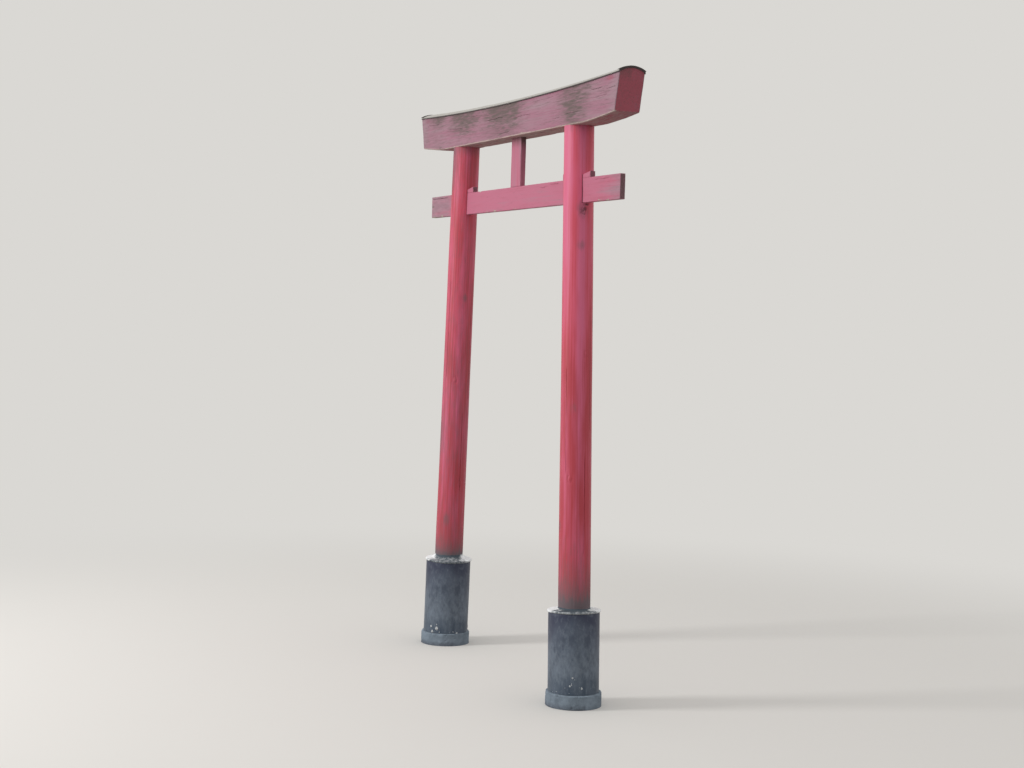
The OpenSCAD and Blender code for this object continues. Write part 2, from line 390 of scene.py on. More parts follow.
def mortise_cutter(side_name):
    """The room for the tie beam and its two wedges, with mouths that wear has opened wider"""
    beam_low, beam_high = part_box("tie_beam")
    inner = sorted(abs(corner.x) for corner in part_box(f"wedge_{side_name}_inner"))
    outer = sorted(abs(corner.x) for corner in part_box(f"wedge_{side_name}_outer"))
    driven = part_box(f"wedge_{side_name}_outer")[1].z
    middle = spacing / 2 - (beam_low.z + beam_high.z) / 2 * math.tan(lean)
    mouths = (middle - head_radius, middle + head_radius)
    stops = [inner[0], mouths[0], mouths[0] + mouth_depth, inner[1], outer[0], mouths[1] - mouth_depth,
             mouths[1], outer[1]]
    roof = np.interp(stops, (inner[0], inner[1], outer[0], outer[1]),
                     (driven, *(beam_high.z + tip_height,) * 2, driven))
    worn_stops = (mouths[0], stops[2], stops[5], mouths[1])
    flare = mouth_wear[side_name] * np.interp(stops, worn_stops, (1, 0, 0, 1))
    half = beam_high.y + mortise_slack + flare
    corners = [[(side_x, -h, beam_low.z), (side_x, h, beam_low.z), (side_x, h, top), (side_x, -h, top)]
               for side_x, h, top in zip(np.array(stops) * SIDES[side_name], half, roof)]
    return shell("mortise_cutter", np.array(corners))


def post(side_name, cracks, knots, chips, patches, soiled_height, pinkness, seed):
    """One log. Each crack has an azimuth, a start, an end and a width, each knot an azimuth, a level
    and a size, each chip an azimuth, a level, a height, a width and a depth, and each darkened patch
    an azimuth, a level, a height, a width and a share. Azimuths are in degrees, the rest in metres."""
    side = SIDES[side_name]
    collar = collar_level[side_name]
    foot, head = collar - socket_depth, under_lintel / math.cos(lean)
    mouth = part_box("tie_beam")[0].z
    stops = (foot, collar - hidden_depth, mouth - chipped_height, mouth, head)
    steps = (hidden_row, post_row, chipped_row, post_row)
    rows = [np.linspace(start, end, round((end - start) / step), endpoint=False)
            for start, end, step in zip(stops, stops[1:], steps)]
    rows = np.concatenate([*rows, [head]])
    columns = np.linspace(0, 2 * math.pi, post_columns, endpoint=False)
    up, turn = np.meshgrid(rows, columns, indexing="ij")
    turn = turn + 0.05 * lumps(wheel(0, turn, up), 0.55, seed)

    radius = log_radius(up)
    local = wheel(radius, turn, up)
    radius = radius + girth_swing * lumps(local, (0.08, 0.08, 0.5), seed)
    radius = radius + ripple_height * lumps(local, (0.014, 0.014, 0.15), seed + 1)
    rotten = np.exp(-np.clip(up - collar, 0, None) / rot_height)
    fibres = np.abs(lumps(local, (0.006, 0.006, 0.09), seed + 2))
    radius = radius - rotten * (skin_loss + rot_depth * fibres)
    for azimuth, level, size in knots:
        reach = np.hypot(round_the_log(turn, azimuth, up), (up - level) * 0.7)
        radius = radius + knot_height * bell(reach / size)
        radius = radius - knot_dip * bell((reach - 1.3 * size) / (0.5 * size))
    for azimuth, level, height, width, depth in chips:
        reach = np.hypot(round_the_log(turn, azimuth, up) / width, (up - level) / height)
        reach = reach * (1 + 0.6 * lumps(local, 0.010, seed + 3)) + 0.45 * lumps(local, 0.005, seed + 4)
        radius = radius - depth * bell(reach)

    # The log's head is cut level under the lintel, so that its rows tilt more and more towards it
    up = up - side * math.tan(lean) * radius * np.cos(turn) * (up - foot) / (head - foot)
    local = wheel(radius, turn, up)
    outward = wheel(1, turn, 0 * turn)
    for azimuth, start, end, width in cracks:
        column = round(azimuth / 360 * post_columns) % post_columns
        open_crack(local, outward, rows, column, start, end, width, 3 * width)

    made = shell(f"{side_name}_log", lean_over(side, local))
    cutter = mortise_cutter(side_name)
    cut = made.modifiers.new("mortise", "BOOLEAN")
    cut.operation = "DIFFERENCE"
    cut.solver = "EXACT"
    cut.object = cutter
    settle(made)
    bpy.data.objects.remove(cutter)
    made.data.set_sharp_from_angle(angle=crease)

    beam_low, beam_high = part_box("tie_beam")
    found = places(made)
    x, y, up = np.moveaxis(stand_up(side, found), -1, 0)
    depth = log_radius(up) - np.hypot(x, y)
    # The painted shade that darkens cracks with their depth is kept light on the mortise's walls
    z = found[:, 2]
    in_mortise = (depth > 0.003) & (z > beam_low.z - 0.001) & (z < beam_high.z + 0.04)
    depth = np.where(in_mortise, 0.0012 + 0.1 * depth, depth)
    # Splashing rain has taken the paint off the foot, and dirt lies there. Close under the lintel the
    # post is darkened as painted shade.
    turn = np.arctan2(y, x)
    above = np.clip(up - collar, 0, None)
    worn = 0.62 * np.exp(-above / (0.4 * soiled_height))
    grime = 1.2 * np.exp(-above / soiled_height) + 0.25 * bell((head - up) / 0.06)
    grime = grime + 0.22 * (1 - pinkness)
    for azimuth, level, height, width, share in patches:
        reach = np.hypot(round_the_log(turn, azimuth, up) / width, (up - level) / height)
        grime += share * bell(reach * 0.7)
    # A pink band up the upper part on its right is a painted reflection, and one on its front a painted
    # highlight. Lower down the red is deeper, as painted shade.
    facing = np.degrees(turn)
    right_pink = bell((facing + 12) / 28) * np.interp(up, (0.9, 1.9), (0.2, 1.0))
    front_pink = bell((facing + 82) / 48) * np.interp(up, (1.5, 2.1), (0.0, 1.1))
    redness = np.interp(up, (0.5, 1.25, 1.55, 1.9), (1.4, 1.15, 0.45, 0.0))
    chalked = 0.35 * (1 - pinkness) * bell((up - 1.2) / 0.6)
    keep(made, grain=np.stack([up, x, y], -1), depth=depth, worn=worn, edge=0 * up,
         grime=grime + 0.25 * chalked, sheltered=np.maximum(redness, 0.75 * (1 - pinkness)),
         sunned=pinkness * (right_pink + front_pink) + chalked)
    return made


# Red oil paint, brushed on along the peeled log: satin where it is sound, with faint brush streaks,
# and matt, grey and fibrous where it has gone.
post_paint = old_paint("red_oil_paint_on_log", POST_RED, POST_LOW_RED, POST_PINK, POST_BARE, POST_BARE,
                       POST_SOIL, rough=0.42, specular=0.22, flakes_mm=(36, 8, 8), softness=0.09)

right_post = post("right", seed=3,
                  cracks=[(-66, 0.96, 1.42, 0.0016), (8, 0.62, 1.06, 0.0018), (34, 1.15, 1.85, 0.003),
                          (130, 0.7, 2.0, 0.005), (-150, 0.6, 1.3, 0.004), (-108, 1.3, 2.0, 0.003)],
                  knots=[(-48, 0.95, 0.009), (10, 1.47, 0.008), (170, 1.2, 0.013)],
                  chips=[(9, 2.093, 0.009, 0.022, 0.0036), (1, 2.074, 0.024, 0.010, 0.0030),
                         (-11, 2.068, 0.032, 0.014, 0.0022)],
                  # The first patch is a painted shadow under the tie beam
                  patches=[(-7, 2.07, 0.045, 0.032, 0.40), (-14, 1.922, 0.024, 0.022, 0.45),
                           (-38, 1.24, 0.03, 0.02, 0.3),
                           (60, 1.6, 0.05, 0.02, 0.5), (-100, 0.75, 0.03, 0.015, 0.5)],
                  soiled_height=0.12, pinkness=1.0)
seat(right_post, post_paint, "right_post")

left_post = post("left", seed=11,
                 cracks=[(-70, 1.3, 1.8, 0.0016), (12, 0.75, 1.15, 0.0018), (40, 1.2, 1.8, 0.003),
                         (-170, 0.7, 1.9, 0.005), (120, 0.55, 1.2, 0.004)],
                 knots=[(-30, 1.3, 0.009), (15, 0.8, 0.010), (-160, 1.5, 0.012)],
                 chips=[(-164, 2.08, 0.020, 0.012, 0.0034)],
                 patches=[(-40, 0.62, 0.03, 0.018, 0.4), (0, 1.7, 0.02, 0.014, 0.4),
                          (-108, 2.34, 0.16, 0.05, 0.50), (-104, 1.02, 0.13, 0.045, 0.36),
                          (-120, 1.35, 0.04, 0.02, 0.5)],
                 soiled_height=0.06, pinkness=0.25)
seat(left_post, post_paint, "left_post")

# Tie beam
# One sawn plank that runs through both posts and stands out beyond them. Its rose paint is dull and
# even, and has come off the lower front arris, where pale wood shows in small chips.
BEAM_ROSE = "#c17188"
BEAM_DEEP = "#b85f72"
BEAM_FADED = "#aa8491"
BEAM_BARE = "#8a7a74"
BEAM_PALE = "#c9b9ac"
BEAM_SOIL = "#735759"
arris_points = 5
plank_row = 0.004
plank_rounding, end_slit = 0.002, 0.0006
least_radius = 0.0003


def end_rings(start, end, step, rounding, reach):
    """Where the rings of a timber lie along it, how far each is drawn in, and whether it lies on an end.
    The ends are rounded, and closed by rings that are drawn in as far as reach."""
    turn = np.linspace(0, math.pi / 2, 5)[:-1]
    closing = np.linspace(reach, rounding, 2 + int(reach / 0.005))
    body = np.linspace(start + rounding, end - rounding, round((end - start) / step))
    into = np.concatenate([0 * closing, rounding * (1 - np.cos(turn))])
    drawn = np.concatenate([closing, rounding * (1 - np.sin(turn))])
    along = np.concatenate([start + into, body[1:-1], (end - into)[::-1]])
    inset = np.concatenate([drawn, 0 * body[1:-1], drawn[::-1]])
    facing = np.concatenate([0 * closing - 1, 0 * along[len(closing):-len(closing)], 0 * closing + 1])
    return along, inset, facing


def squared(along, inset, half, low, high, radii, across, upward, sway):
    """Rings of a squared timber with worn arrises, as along, thickness and height, with its outward
    directions. Each ring starts at the lower front arris and goes round by the lower back one. The
    lines of points along its faces sway a little, as the grain does."""
    half, bottom, top = half - inset, low + inset, high - inset
    radii = np.maximum(radii - inset[:, None], least_radius)
    arcs, outward = [], []
    for k, (side, rise) in enumerate(((-1, -1), (1, -1), (1, 1), (-1, 1))):
        turn = math.pi * (1 + k / 2) + np.linspace(0, math.pi / 2, arris_points)
        direction = np.stack([np.cos(turn), np.sin(turn)], -1)
        level = bottom if rise < 0 else top
        middle = np.stack([side * (half - radii[:, k]), level - rise * radii[:, k]], -1)
        arcs.append(middle[:, None] + radii[:, k, None, None] * direction)
        outward.append(direction)
    ring, directions = [], []
    for k, count in enumerate((across, upward, across, upward)):
        share = np.linspace(0, 1, count + 2)[1:-1, None]
        share = share + 4 * share * (1 - share) * sway[:, None, None]
        start, end = arcs[k][:, -1:], arcs[(k + 1) % 4][:, :1]
        ring += [arcs[k], start + (end - start) * share]
        directions += [outward[k], np.repeat(outward[k][-1:], count, 0)]
    ring = np.concatenate(ring, 1)
    places_along = np.repeat(along[:, None, None], ring.shape[1], 1)
    directions = np.concatenate(directions)
    directions = np.concatenate([np.zeros((len(directions), 1)), directions], 1)
    return np.concatenate([places_along, ring], -1), directions


def worn_arrises(line, rest, wear, chips, seed):
    """The radius of each of four arrises down a line: worn unevenly, and chipped in places. Each chip
    has an arris, a place along the line, a length and a size."""
    radii = np.stack([rest + wear[k] * np.clip(0.5 + lumps(line, 0.07, seed + k), 0, None)
                      + 0.4 * wear[k] * np.clip(lumps(line, 0.012, seed + k + 9), 0, None)
                      for k in range(4)], -1)
    for arris, place, length, size in chips:
        radii[:, arris] += size * bell((line[:, 0] - place) / length)
    return radii


def plank(along, inset, facing, half, low, high, wear, chips, across, upward, seed, cracks=(),
          rest=0.0012, relief=0.0003):
    """Rings of a sawn plank, with their grain, the depth of its cracks, its wear and its end faces.
    Each crack has a column of points, a start, an end and a width."""
    line = np.stack([along, 0 * along, 0 * along], -1)
    radii = worn_arrises(line, rest, wear, chips, seed)
    sway = 0.03 * lumps(line, 0.16, seed + 4) + 0.012 * lumps(line, 0.04, seed + 5)
    rings, directions = squared(along, inset, half, low, high, radii, across, upward, sway)
    end_face = np.repeat((facing != 0)[:, None], rings.shape[1], 1)
    outward = np.repeat(directions[None], len(along), 0) * ~end_face[..., None]
    outward[..., 0] = facing[:, None]
    lift = relief * lumps(rings, (0.22, 0.005, 0.005), seed)
    lift = lift + 2 * relief * lumps(rings, (0.5, 0.06, 0.06), seed + 1)
    lift = lift + relief * lumps(rings, 0.006, seed + 2) * end_face
    grain = rings.copy()
    rings = rings + outward * lift[..., None]
    sound = rings.copy()
    for column, start, end, width in cracks:
        open_crack(rings, outward, along, column, start, end, width, 2.5 * width)
    depth = np.sum((sound - rings) * outward, -1)
    rounded = np.zeros(rings.shape[:2])
    first = 0
    for k, count in enumerate((across, upward, across, upward)):
        rounded[:, first:first + arris_points] = np.clip((radii[:, k, None] - rest) / 0.004, 0, 1)
        first += arris_points + count
    return rings, grain, depth, rounded, end_face


def show(name, points, grain, **layers):
    """Makes a timber of its rings and keeps what its material reads on its points"""
    made = shell(name, points)
    flat = {label: values.ravel() for label, values in layers.items()}
    keep(made, grain=grain.reshape(-1, 3), **flat)
    made.data.set_sharp_from_angle(angle=crease)
    return made


# Rose oil paint, brushed on along the sawn plank: dull and even, greyed at the plank's ends, and
# chipped to pale wood along its arrises.
beam_paint = old_paint("rose_paint_on_plank", BEAM_ROSE, BEAM_DEEP, BEAM_FADED, BEAM_BARE, BEAM_PALE,
                       BEAM_SOIL, rough=0.6, specular=0.25, flakes_mm=(36, 8, 8), softness=0.09)

low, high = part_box("tie_beam")
along, inset, facing = end_rings(low.x, high.x, plank_row, plank_rounding, high.y - end_slit)
chips = [(0, 0.905, 0.030, 0.004), (0, 0.83, 0.012, 0.003), (0, 0.36, 0.03, 0.001),
         (0, -0.22, 0.02, 0.002), (0, -0.87, 0.02, 0.004), (3, 0.55, 0.015, 0.003),
         (3, -0.4, 0.02, 0.003), (2, 0.2, 0.03, 0.004), (1, -0.6, 0.03, 0.004)]
points, grain, depth, rounded, end_face = plank(
    along, inset, facing, high.y, low.z, high.z, (0.0026, 0.0018, 0.0014, 0.0014), chips,
    across=6, upward=32, seed=21,
    cracks=[(67, 0.78, 0.92, 0.0010), (66, 0.36, 0.46, 0.0012), (69, 0.25, 0.33, 0.0010),
            (25, -0.8, -0.2, 0.002), (66, -1.02, -0.8, 0.002)])
# Outside the posts the paint is faded and dirty, and at the far left end it is nearly gone
ends = np.interp(points[..., 0], (-0.80, -0.68, 0.76, 1.0), (1.0, 0.0, 0.0, 0.7))
bare_end = np.clip((-0.80 - points[..., 0]) / 0.20, 0, 1)
# The end faces are darkened as painted shade
tie = show("tie_plank", points, grain, depth=depth,
           worn=0.5 * rounded + 0.05 * ends + 0.3 * bare_end + 0.2 * end_face,
           edge=rounded * ~end_face, grime=0.05 + 0.18 * ends + 0.62 * end_face,
           sunned=1.1 * ends - 0.3, sheltered=0 * ends)
seat(tie, beam_paint, "tie_beam")

# Strut
# A short plank of the same stuff and paint as the tie beam. It stands on the beam's middle, and its
# tenons hold it there and under the lintel.
low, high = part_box("strut")
beam_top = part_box("tie_beam")[1].z
along, inset, facing = end_rings(beam_top, under_lintel, plank_row, plank_rounding / 2,
                                 high.y - end_slit)
points, grain, depth, rounded, _ = plank(
    along, inset, facing, high.y, low.x, high.x, (0.0018, 0.0014, 0.0014, 0.002), [],
    across=6, upward=32, seed=33, cracks=[(64, 2.22, 2.36, 0.002)])
# Close under the lintel the strut is darkened as painted shadow, and its side faces as painted shade
side_face = np.abs(points[..., 2]) > high.x - 0.002
strut = show("strut_board", points[..., (2, 1, 0)], grain, depth=depth, worn=0.5 * rounded,
             edge=rounded, sunned=0 * rounded + 0.1, sheltered=0 * rounded,
             grime=0.65 * bell((under_lintel - points[..., 0]) / 0.06) + 0.3 * side_face)
seat(strut, beam_paint, "strut")

# Wedges
# Four hardwood wedges with the beam's own paint, driven over the tie beam from both sides of each
# post. Hammer blows have bruised their thick ends, which stand out of the mortise.
bruise = 0.0025
wedge_row, wedge_rounding, wedge_slit = 0.003, 0.0015, 0.0004
for number, node in enumerate(n for n in sorted(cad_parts) if n.startswith("wedge_")):
    low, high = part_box(node)
    tip_first = (low.x > 0) == node.endswith("outer")
    along, inset, facing = end_rings(low.x, high.x, wedge_row, wedge_rounding,
                                     tip_height / 2 - wedge_slit)
    share = (along - low.x) / (high.x - low.x)
    share = share if tip_first else 1 - share
    thick = tip_height + (high.z - low.z - tip_height) * share
    points, grain, depth, rounded, end_face = plank(
        along, inset, facing, high.y, low.z, low.z + thick, (0.002,) * 4, [],
        across=6, upward=8, seed=40 + 3 * number)
    crushed = bell((1 - share[:, None] * np.ones(points.shape[:2])) / 0.12)
    points = points + (bruise * crushed * lumps(points, 0.012, number))[..., None] * (0.3, 0.5, 0.8)
    # The end faces are darkened as painted shade; the bruised ends are dirty
    wedge = show(f"{node}_block", points, grain, depth=depth, worn=0.4 * rounded + 0.25 * crushed,
                 edge=rounded * ~end_face, grime=0.2 * crushed + 0.5 * end_face,
                 sunned=0 * rounded - 0.3, sheltered=0 * rounded)
    seat(wedge, beam_paint, node)

# Lintel
# One heavy timber with a rounded top, turned up at both ends and cut off at a slant. It rests on the
# posts, whose tenons go up into it. Its old rose paint is chalky and crazed, and has weathered away
# in broad patches.
LINTEL_ROSE = "#a77184"
LINTEL_MAROON = "#b05c69"
LINTEL_CHALKY = "#a5858f"
LINTEL_BARE = "#7b6b68"
LINTEL_PALE = "#c8b1ab"
LINTEL_SOIL = "#695b59"
under_length = 2.056
straight_length = 1.520
end_lift = 0.021
lift_power = 1.25
front_height = 0.155
sweep = 0.024
rake = math.radians(13)
crown_rise = 0.017
lintel_row = 0.005
lintel_rounding, lintel_slit = 0.003, 0.001
face_margin = 0.004


def shoulder_level(share):
    """The top edge of the front face, at a share from -1 to 1 of the way along"""
    return under_lintel + front_height + sweep * share ** 2


def crown(share):
    """The rounded top's height above its shoulders, at a share from -1 to 1 of the half depth"""
    radius = (lintel_half ** 2 + crown_rise ** 2) / (2 * crown_rise)
    out = lintel_half * np.clip(share, -1.1, 1.1)
    return np.sqrt(radius ** 2 - out ** 2) - (radius - crown_rise)


def slanted(along, level):
    """Where a point of the lintel lies along the gate, in step with the slant of its ends"""
    return along * (1 + (level - under_lintel - end_lift) * math.tan(rake) / (under_length / 2))


low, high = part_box("lintel")
lintel_half = high.y
along, inset, facing = end_rings(-under_length / 2, under_length / 2, lintel_row, lintel_rounding,
                                 lintel_half - lintel_slit)
share = along / (under_length / 2)
bend = np.clip((np.abs(along) * 2 - straight_length) / (under_length - straight_length), 0, 1)
bottom = under_lintel + end_lift * bend ** lift_power
top = shoulder_level(share)
chips = [(0, 0.78, 0.015, 0.003), (0, 0.52, 0.05, 0.002), (0, 0.15, 0.02, 0.003),
         (0, -0.1, 0.012, 0.003), (0, -0.45, 0.04, 0.002), (0, -0.8, 0.02, 0.003),
         (1, 0.3, 0.05, 0.005), (1, -0.5, 0.04, 0.005)]
cracks = [(153, 0.05, 0.24, 0.0011), (171, 0.45, 0.54, 0.0009), (166, 0.57, 0.71, 0.0011),
          (140, 0.80, 0.90, 0.0019), (153, 0.82, 0.96, 0.0009), (145, 0.93, 1.01, 0.0013),
          (133, 0.28, 0.46, 0.0009), (147, -0.26, -0.05, 0.0018), (176, -0.12, 0.02, 0.0012),
          (152, -0.70, -0.52, 0.0013), (135, -0.42, -0.33, 0.0012), (139, -0.97, -0.80, 0.0013),
          (44, -0.7, 0.1, 0.0028), (62, 0.1, 0.7, 0.0032), (74, -0.3, 0.3, 0.0016),
          (52, 0.75, 1.0, 0.0020), (12, -0.6, 0.5, 0.0036)]
points, grain, depth, rounded, end_face = plank(
    along, inset, facing, lintel_half, bottom, top, (0.0030, 0.0026, 0.0, 0.0), chips,
    across=22, upward=60, seed=55, cracks=cracks, rest=0.0016, relief=0.0005)
level = (points[..., 2] - (bottom + inset)[:, None]) / (top - bottom - 2 * inset)[:, None]
points[..., 2] += crown(points[..., 1] / lintel_half) * np.clip(level, 0, 1)
points[..., 0] = slanted(points[..., 0], points[..., 2])
front = points[..., 1] < -lintel_half + face_margin
back = points[..., 1] > lintel_half - face_margin
under = points[..., 2] < (bottom + inset)[:, None] + 0.003
drop = top[:, None] - points[..., 2]

# The paint has thinned most in spots, each with a place, a length, a height and a share. The back
# has the same ones, mirrored and drawn in a little.
thin_spots = [(0.67, 0.19, 0.27, 0.85), (-0.08, 0.30, 0.20, 1.0), (-0.50, 0.24, 0.13, 1.0),
              (-0.84, 0.14, 0.06, 1.0)]
thin_paint = np.zeros(points.shape[:2])
for x, length, height, most in thin_spots:
    for mirrored, face in ((1, front), (-0.9, back)):
        reach = np.hypot((points[..., 0] - mirrored * x) / length,
                         np.clip(drop - 0.01, 0, None) / height)
        thin_paint = np.maximum(thin_paint, most * bell(reach * 0.8) * face)
dirty = thin_paint * (1 + 0.5 * lumps(points, (0.2, 0.1, 0.05), 64))
blotchy = 0.7 * lumps(points, (0.28, 0.1, 0.06), 61) + 0.5 * lumps(points, (0.15, 0.03, 0.009), 62)
blotchy += 0.45 * lumps(points, (0.040, 0.03, 0.014), 65)
thin_paint = np.clip(thin_paint * (1 + blotchy), 0, 1)

# Each ring starts at the lower front arris, which the weather has worn pale
around = (np.arange(points.shape[1]) + 3) % points.shape[1]
chipped = np.clip(0.85 + 1.1 * lumps(points, (0.11, 0.05, 0.05), 63), 0.2, 1.3)
arris = 0.72 * bell((around - 5.0) / 4.5) * chipped
dry_rot = 0.38 + 0.15 * bell(points[..., 0] / 1.2)
worn = (0.12 * (front | back) + 0.46 * thin_paint + dry_rot * under) * ~end_face
worn = worn + np.maximum(0.35 * rounded, arris)
# Beside dirt, the faces are a little darker just under the cap, and each end face has a darker strip
# along its top, on its front half.
grime = 0.10 * ~under + 0.42 * dirty + 0.05 * bell(drop / 0.03) * (front | back)
grime = grime + 0.12 * np.clip((-0.55 - points[..., 0]) / 0.3, 0, 1) * front
grime = grime + end_face * 0.30 * bell((points[..., 2] - 2.60) / 0.05) * (points[..., 1] < 0)
# The underside is paler: worn bare wood, made paler still as painted light from the ground
edge = np.clip(np.maximum(rounded, 1.6 * arris), 0, 1) * ~end_face + 0.9 * under * ~end_face
# High up on the front, near each end, the paint has kept its colour
fresh = 0.75 * bell(np.hypot((np.abs(points[..., 0]) - 0.985) / 0.06, (drop - 0.016) / 0.024)) * front
sunned = (0.35 + 0.5 * bell((np.abs(points[..., 0]) - 1.04) / 0.10) - fresh) * (front | back)
sheltered = np.where(end_face | under, 1.3, fresh - 0.35)

# Rose oil paint, brushed on long ago: chalky and matt, with no gloss left, crazed and thinned in
# broad soft patches down to grey wood. Paint that the cap has kept dry is still dark red.
lintel_paint = old_paint("chalky_rose_paint_on_timber", LINTEL_ROSE, LINTEL_MAROON, LINTEL_CHALKY,
                         LINTEL_BARE, LINTEL_PALE, LINTEL_SOIL, rough=0.7, specular=0.25,
                         flakes_mm=(60, 6, 6), softness=0.34, crazing=0.5)
lintel = show("lintel_timber", points, grain, depth=depth, worn=worn, edge=edge, grime=grime,
              sunned=np.where(end_face, -0.7, sunned), sheltered=sheltered)
seat(lintel, lintel_paint, "lintel")

# Cap
# Thin galvanised sheet, dressed over the lintel's rounded top and folded down its faces, where it
# ends in a dark hem that stands a little proud. Small nails hold the hem every 24 cm.
SHEET_ZINC = "#d2cfca"
SHEET_STAIN = "#8d847c"
HEM_BROWN = "#3f3434"
sheet_thickness, strip_thickness = 0.0014, 0.0012
clear = 0.0012
hem_drop = 0.007
hem_flare = 0.0022
dent_height, ruffle = 0.0010, 0.0006
nail_spacing = 0.24
nail_head = 0.007
nail_drop, nail_stand = 0.0038, 0.0008
nail_margin = 0.06


def sheet(name, grid, thickness):
    """A thin sheet over a grid of points"""
    rows, count = grid.shape[:2]
    index = np.arange(rows * count).reshape(rows, count)
    corners = [index[:-1, :-1], index[:-1, 1:], index[1:, 1:], index[1:, :-1]]
    made = piece(name, grid, np.stack(corners, -1).reshape(-1, 4).tolist())
    walls = made.modifiers.new("thickness", "SOLIDIFY")
    walls.thickness = thickness
    walls.offset = 0.0
    settle(made)
    face_outwards(made)
    made.data.set_sharp_from_angle(angle=crease)
    return made


# Galvanised steel sheet, rolled and then dressed over the timber by hand: dull and satin, with dark
# stains where rain has run down it. The lower part of the folded hem, the end strips and the nails are
# painted dark brown, as a bituminous coat and as painted shade.
sheet_metal = new_material("weathered_galvanised_sheet")
tree = sheet_metal.node_tree
place = add(tree, "ShaderNodeTexCoord", output="Object")
tarred = add(tree, "ShaderNodeAttribute", output="Fac", attribute_name="tarred")
stains, runs, grit = textures(tree, place, ((90, 40, 40), 6, 0.65), ((9, 9, 60), 3, 0.5),
                              ((2, 2, 2), 2, 0.5))
stained = marked(tree, runs, 0.4, stains, 0.68, 0.98)
colour = linear(SHEET_ZINC)
for amount, coat in ((stained, SHEET_STAIN), (tarred, HEM_BROWN)):
    colour = add(tree, "ShaderNodeMix", {"Factor": amount, "A": colour, "B": linear(coat)},
                 data_type="RGBA")
covered = add(tree, "ShaderNodeMath", {0: stained, 1: tarred}, operation="MAXIMUM")
rough = add(tree, "ShaderNodeMapRange", {"Value": covered, "To Min": 0.38, "To Max": 0.65})
metal = add(tree, "ShaderNodeMapRange", {"Value": covered, "To Min": 1.0, "To Max": 0.0})
bump = add(tree, "ShaderNodeBump", {"Height": grit, "Distance": 0.0002, "Strength": 1.0})
surface = add(tree, "ShaderNodeBsdfPrincipled", {"Base Color": colour, "Roughness": rough,
                                                 "Normal": bump, "Metallic": metal})
add(tree, "ShaderNodeOutputMaterial", {"Surface": surface})

# Across the gate the sheet goes up one hem, over the top and down the other hem
half = lintel_half + clear
hem_path = [(half + hem_flare, -hem_drop - 0.0005), (half + 0.4 * hem_flare, -hem_drop + 0.0012),
            (half, -hem_drop + 0.0030), (half, -0.0028), (half, -0.0008), (half - 0.0006, 0.0008)]
over_top = [(y * (half - 0.0025), crown(y) + clear) for y in np.linspace(-1, 1, 41)]
path = np.array([(-y, z) for y, z in hem_path] + over_top + hem_path[::-1])
rows = np.linspace(-1, 1, 360)
y = np.repeat(path[None, :, 0], len(rows), 0)
z = shoulder_level(rows)[:, None] + path[None, :, 1]
line = np.stack([rows[:, None] + 0 * y, y, z], -1)
wave = lumps(line * (under_length / 2, 1, 1), (0.11, 0.05, 0.4), 71)
on_arch = np.abs(y) < half - 0.001
z = z + np.where(on_arch, dent_height * np.clip(wave, 0, None), ruffle * wave)
y = y + np.where(on_arch, 0, np.sign(y) * ruffle * np.clip(wave, 0, None))
x = slanted(rows[:, None] * under_length / 2, z)
cap = sheet("cap_sheet", np.stack([x, y, z], -1), sheet_thickness)
found = places(cap)
rise = found[:, 2] - shoulder_level(found[:, 0] / slanted(under_length / 2, found[:, 2]))
# The lower part of the hem is painted dark: a bituminous coat, and painted shade
keep(cap, tarred=np.interp(rise, (-0.0032, -0.0010), (1.0, 0.0)))
seat(cap, sheet_metal, "lintel_cap")

# A strip over each end starts on top of the cap and is folded down the lintel's end face. Its path is
# given as the way out from the end and the way up from the cap's edge.
strip_path = [(-0.014, 0.0018), (-0.004, 0.0018), (0.0004, 0.0016), (0.0014, 0.0006),
              (0.0016, -0.002), (0.0016, -0.0046), (0.0022, -0.0062)]
across = np.linspace(-1, 1, 61)
for side_name, side in SIDES.items():
    grid = []
    for out, rise in strip_path:
        y = across * (half + min(0.0016, 0.001 + rise))
        z = shoulder_level(1.0) + crown(across) + rise + clear
        z = z + 0.0005 * lumps(np.stack([0 * y + out, y, z], -1), 0.02, 80 + side)
        x = side * (slanted(under_length / 2, z) + out)
        grid.append(np.stack([x, y, z], -1))
    strip = sheet(f"{side_name}_end_strip", np.array(grid), strip_thickness)
    # The whole strip is painted dark: a bituminous coat, and painted shade
    keep(strip, tarred=np.ones(len(strip.data.vertices)))
    seat(strip, sheet_metal, f"lintel_cap_{side_name}_end")


def new_growth(name, result, **inputs):
    """A new tree with one result and with inputs of the kinds given, and what its inputs give"""
    tree = bpy.data.node_groups.new(name, "GeometryNodeTree")
    for label, kind in inputs.items():
        tree.interface.new_socket(label, in_out="INPUT", socket_type=f"NodeSocket{kind}")
    tree.interface.new_socket(result, in_out="OUTPUT", socket_type="NodeSocketGeometry")
    return tree, tree.nodes.new("NodeGroupInput").outputs


def finish_growth(tree, copies, material):
    """Ends a tree, so that its copies come out as smooth pieces of one material"""
    real = add(tree, "GeometryNodeRealizeInstances", {"Geometry": copies})
    smooth = add(tree, "GeometryNodeSetShadeSmooth", {0: real})
    done = add(tree, "GeometryNodeSetMaterial", {"Geometry": smooth, "Material": material})
    add(tree, "NodeGroupOutput", {0: done})


